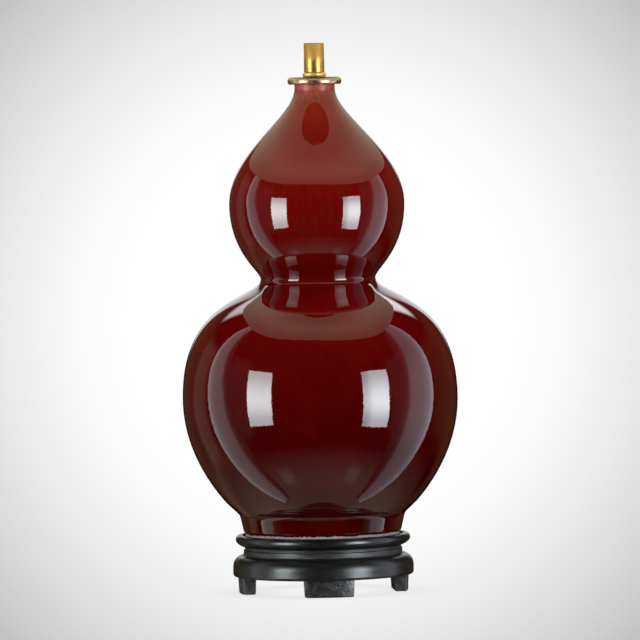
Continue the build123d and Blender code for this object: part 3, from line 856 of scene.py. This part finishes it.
softboxes = {
    # light is that at the two ends and in the middle, and firstShare that at the side of the lower azimuth
    "left": {"azimuth": -50.7, "distance": 1.5, "width": 0.580, "bottom": -0.335, "top": 0.635,
             "tone": colour(0.92, 1.0, 1.01), "light": (8.2, 14.8), "firstShare": 1.0},
    "right": {"azimuth": 46.2, "distance": 1.5, "width": 0.628, "bottom": -0.42, "top": 0.655,
              "tone": colour(0.91, 1.0, 1.05), "light": (8.5, 17.4), "firstShare": 0.62},
}


def makeSoftbox(side):
    # a flat upright sheet that faces the lamp's axis
    box = softboxes[side]
    a = math.radians(box["azimuth"])
    middle = np.array([math.sin(a), -math.cos(a)]) * box["distance"]
    across = np.array([math.cos(a), math.sin(a)]) * box["width"] / 2
    u, z = np.meshgrid(np.linspace(-1, 1, 3), np.linspace(box["bottom"], box["top"], 3))
    points = np.stack([middle[0] + across[0] * u, middle[1] + across[1] * u, z], axis=-1)
    material = makePanelLight(side + "SoftboxLight", box["tone"], box["light"], box["firstShare"])
    glossPanel(side + "Softbox", points, material)


strips = {
    # upright strips on a drum round the lamp: four places of each long edge, as height and azimuth
    "drum": 0.6, "bottom": -1.3, "top": 0.95, "rows": 33, "columns": 15,
    "left": {"tone": colour(0.93, 0.95, 1.0), "light": (1.0, 1.15),
             "inner": [(-1.3, -75), (-0.45, -72.3), (0.15, -81), (0.95, -95.5)],
             "outer": [(-1.3, -88.5), (-0.4, -94.6), (0.3, -101.2), (0.95, -104)]},
    "right": {"tone": colour(0.85, 0.88, 1.0), "light": (0.95, 1.55),
              "inner": [(-1.3, 80), (-0.35, 71.5), (0.3, 75.3), (0.95, 91)],
              "outer": [(-1.3, 91), (-0.4, 96.4), (0.3, 102.3), (0.95, 104)]},
    # half the light across a strip, from a weak fringe beyond its inner edge to its bright outer edge
    "across": [(0.0, 0.04), (0.27, 0.15), (0.29, 0.25), (0.35, 0.40),
               (0.71, 0.525), (0.89, 0.75), (0.96, 1.0), (1.0, 0.8)],
    "fringe": 0.4, "brightest": 0.64, "alongFade": (0.03, 0.2),
}


def makeStripLight(name, tone, light):
    # light that grows across the strip and is strongest at one height; the curve holds half of it
    ends, middle = light
    material, tree, across, along = startPanelLight(name)
    off = distanceFrom(tree, along, strips["brightest"])
    level = fade(tree, off, *strips["alongFade"], 2 * middle, 2 * ends)
    finishPanelLight(tree, tone, times(tree, curve(tree, across, strips["across"]), level))
    return material


def makeStrip(side):
    # each long edge is the cubic through its four places, and the fringe lies beyond the inner one
    strip, drum = strips[side], strips["drum"]
    z = np.linspace(strips["bottom"], strips["top"], strips["rows"])
    inner, outer = (np.polyval(np.polyfit(*np.array(strip[edge]).T, 3), z) for edge in ("inner", "outer"))
    u = np.linspace(-strips["fringe"], 1, strips["columns"])
    a = np.radians(inner[:, None] + (outer - inner)[:, None] * u)
    points = np.stack([np.sin(a) * drum, -np.cos(a) * drum, z[:, None] + 0 * a], axis=-1)
    material = makeStripLight(side + "StripPanelLight", strip["tone"], strip["light"])
    glossPanel(side + "StripPanel", points, material)


softLights = {
    "aim": (0.0, 0.0, 0.2),
    # place, diameter and power
    "places": {
        "keyLeft": ((-1.6, -1.6, 0.9), 1.2, 30.0),
        "keyRight": ((1.6, -1.7, 0.9), 1.2, 30.0),
        "above": ((0.0, 0.0, 2.0), 1.5, 30.0),
        "back": ((0.0, 2.2, 1.2), 1.5, 20.0),
    },
}


def makeSoftLight(name, place, size, power):
    # lights the matt share of every surface; the panels give the reflections
    data = bpy.data.lights.new(name, "AREA")
    data.shape, data.size, data.energy = "DISK", size, power
    light = bpy.data.objects.new(name, data)
    light.location = place
    light.rotation_mode = "QUATERNION"
    light.rotation_quaternion = (Vector(softLights["aim"]) - Vector(place)).to_track_quat("-Z", "Y")
    light.visible_glossy = False
    bpy.context.scene.collection.objects.link(light)


floor = {"hole": 0.0005, "radius": 0.8, "rows": 9, "columns": 96, "nearness": 0.03, "samples": 8,
         "shadeSpan": (0.1, 1.0), "shade": 0.86}


def makeFloor():
    # clear but for a painted contact shadow where the feet stand, darkened by ambient occlusion, so the pale
    # studio shows through as floor and wall in one
    material = bpy.data.materials.new("paleFloor")
    tree = emptyTree(material)
    nearness = {"Distance": floor["nearness"]}
    # painted shade: the floor darkens where ambient occlusion finds the lamp near
    near = add(tree, "ShaderNodeAmbientOcclusion", nearness, samples=floor["samples"]).outputs["AO"]
    shade = fade(tree, near, *floor["shadeSpan"], floor["shade"], 1.0, "LINEAR")
    grey = add(tree, "ShaderNodeCombineXYZ", {0: shade, 1: shade, 2: shade}).outputs[0]
    clear = add(tree, "ShaderNodeBsdfTransparent", {"Color": grey})
    add(tree, "ShaderNodeOutputMaterial", {"Surface": clear.outputs[0]})
    radii = np.linspace(floor["hole"], floor["radius"], floor["rows"])
    disc = turnedGrid(np.stack([radii, np.zeros(floor["rows"])], axis=1), floor["columns"])
    piece = gridMesh("floorDisc", disc, False, True)
    piece.data.materials.append(material)
    piece.visible_glossy = piece.visible_diffuse = piece.visible_shadow = False


camera = {
    "lens": 356.0, "sensor": 36.0, "imageWidth": 640, "farEnd": 200.0,
    "distance": 5.0, "height": 0.403, "aside": 0.00095, "down": 2.154, "roll": -1.05,
}
backdrop = {
    # what the camera sees; the darkening to the picture's edges is in pixels from its middle
    "darkerFrom": 190.0, "darkestAt": 445.0, "darkening": 0.454, "bend": 1.335,
    "elsewhereFrom": (0.09, 0.4), "elsewhere": 0.82,
    "ambient": 0.35, "ambientTone": colour(0.9, 0.9, 0.9),
}
surroundings = {
    # what the gloss sees far off, in degrees: azimuth from and to, elevation from and to, softness, light
    "patches": [
        (-132, -112, -26, 24, 4.0, (0.27, 0.22, 0.16)), (112, 150, -18, 24, 5.0, (0.11, 0.060, 0.030)),
        (-163, -132, -30, 26, 5.0, (0.08, 0.055, 0.03)), (150, 163, -30, 26, 5.0, (0.06, 0.035, 0.02)),
        (-85, -62, -25, 25, 5.0, (0.13, 0.12, 0.12)), (62, 85, -25, 25, 5.0, (0.13, 0.12, 0.12)),
        (-176, -100, -95, -24, 6.0, (0.15, 0.13, 0.09)), (100, 176, -95, -30, 6.0, (0.11, 0.09, 0.06)),
        (-166, -146, 30, 48, 3.0, (2.8, 2.8, 2.8)), (146, 166, 30, 48, 3.0, (4.2, 4.2, 4.2)),
        (-56, -40, -62, -52, 5.0, (0.40, 0.40, 0.36)), (35, 51, -62, -52, 5.0, (0.40, 0.40, 0.36)),
    ],
    "wallFrom": (163, 167), "wallRise": (1, 5), "wallTop": (33, 37), "wallLight": (1.15, 1.15, 1.15),
    "floorBelow": (-65, -36), "floorTone": (1.05, 1.0, 0.86),
    "floorRise": [(0.0, 0.35), (0.25, 0.33), (0.53, 0.20), (0.73, 0.12), (1.0, 0.0)],
    # the dark below the lamp, a painted shadow of the lamp on the floor as the gloss sees it, is an oval in
    # the direction looked in: half width, middle and half depth
    "underLamp": (0.25, 0.16, 0.28), "underLampEdge": (0.85, 1.15), "underLampShare": 0.12,
}


def backdropLevel(tree, way):
    # white round the middle of the picture, greyer outwards, and an even grey well to the side
    tilt = math.radians(camera["down"])
    ahead = (0.0, math.cos(tilt), -math.sin(tilt))
    off = add(tree, "ShaderNodeVectorMath", {0: way, 1: ahead}, operation="DISTANCE").outputs["Value"]
    focal = camera["lens"] / camera["sensor"] * camera["imageWidth"]
    spread = fade(tree, off, backdrop["darkerFrom"] / focal, backdrop["darkestAt"] / focal, shape="LINEAR")
    darker = times(tree, calc(tree, "POWER", spread, backdrop["bend"]), backdrop["darkening"])
    grey = calc(tree, "SUBTRACT", 1.0, darker)
    aside = fade(tree, off, *backdrop["elsewhereFrom"])
    return fade(tree, aside, 0.0, 1.0, grey, backdrop["elsewhere"], "LINEAR")


def window(tree, value, low, high, soft):
    # 1 between low and high and 0 outside, with soft edges
    return times(tree, fade(tree, value, low - soft, low + soft),
                 fade(tree, value, high - soft, high + soft, 1.0, 0.0))


def addLight(tree, share, tone, light=(0.0, 0.0, 0.0)):
    # the light so far and a share of a tone
    inputs = {0: share, 1: tone, 2: light}
    return add(tree, "ShaderNodeVectorMath", inputs, operation="MULTIPLY_ADD").outputs[0]


def glossLight(tree, way):
    # the floor's glow, the patches and the wall behind the lamp, by azimuth from the front and elevation
    x, y, z = split(tree, way)
    azimuth = calc(tree, "DEGREES", calc(tree, "ARCTAN2", x, times(tree, y, -1.0)))
    elevation = calc(tree, "DEGREES", calc(tree, "ARCSINE", z))
    rise = fade(tree, elevation, *surroundings["floorBelow"], shape="LINEAR")
    floorGlow = curve(tree, rise, surroundings["floorRise"])
    # a painted shadow of the lamp on the floor, darkening the floor's glow straight below
    halfWidth, middle, halfDepth = surroundings["underLamp"]
    across = calc(tree, "DIVIDE", x, halfWidth)
    along = calc(tree, "DIVIDE", calc(tree, "SUBTRACT", y, middle), halfDepth)
    oval = calc(tree, "ADD", times(tree, across, across), times(tree, along, along))
    shaded = fade(tree, oval, *surroundings["underLampEdge"], surroundings["underLampShare"], 1.0)
    light = addLight(tree, times(tree, floorGlow, shaded), surroundings["floorTone"])
    for azimuthFrom, azimuthTo, lowest, highest, soft, tone in surroundings["patches"]:
        sides = window(tree, azimuth, azimuthFrom, azimuthTo, soft)
        ends = window(tree, elevation, lowest, highest, soft)
        light = addLight(tree, times(tree, sides, ends), tone, light)
    behind = fade(tree, calc(tree, "ABSOLUTE", azimuth), *surroundings["wallFrom"])
    rise = fade(tree, elevation, *surroundings["wallRise"])
    wall = times(tree, behind, times(tree, rise, fade(tree, elevation, *surroundings["wallTop"], 1.0, 0.0)))
    return addLight(tree, wall, surroundings["wallLight"], light)


def farLight(tree, tone, level):
    return add(tree, "ShaderNodeBackground", {"Color": tone, "Strength": level}).outputs[0]


def choose(tree, ray, otherwise, chosen):
    # one light for that kind of ray and the other for the rest
    return add(tree, "ShaderNodeMixShader", {0: ray, 1: otherwise, 2: chosen}).outputs[0]


def makeWorld():
    world = bpy.data.worlds.new("studio")
    bpy.context.scene.world = world
    tree = emptyTree(world)
    way = add(tree, "ShaderNodeTexCoord").outputs["Generated"]
    seen = farLight(tree, colour(1, 1, 1), backdropLevel(tree, way))
    reflected = farLight(tree, glossLight(tree, way), 1.0)
    ambient = farLight(tree, backdrop["ambientTone"], backdrop["ambient"])
    rays = add(tree, "ShaderNodeLightPath").outputs
    unseen = choose(tree, rays["Is Glossy Ray"], ambient, reflected)
    final = choose(tree, rays["Is Camera Ray"], unseen, seen)
    add(tree, "ShaderNodeOutputWorld", {"Surface": final})


def makeCamera():
    data = bpy.data.cameras.new("camera")
    data.lens, data.sensor_width, data.clip_end = camera["lens"], camera["sensor"], camera["farEnd"]
    view = bpy.data.objects.new("camera", data)
    view.location = (camera["aside"], -camera["distance"], camera["height"])
    view.rotation_mode = "XYZ"
    # roll about the line of sight first, then tip from straight down to the horizon less the tilt
    tip = Matrix.Rotation(math.radians(90 - camera["down"]), 4, "X")
    roll = Matrix.Rotation(math.radians(camera["roll"]), 4, "Z")
    view.rotation_euler = (tip @ roll).to_euler()
    bpy.context.scene.collection.objects.link(view)
    bpy.context.scene.camera = view


makeOverheadRing()
for side in ("left", "right"):
    makeSoftbox(side)
    makeStrip(side)
for name, settings in softLights["places"].items():
    makeSoftLight(name, *settings)
makeFloor()
makeWorld()
makeCamera()
bpy.context.scene.view_settings.view_transform = "Standard"
print("studio made")
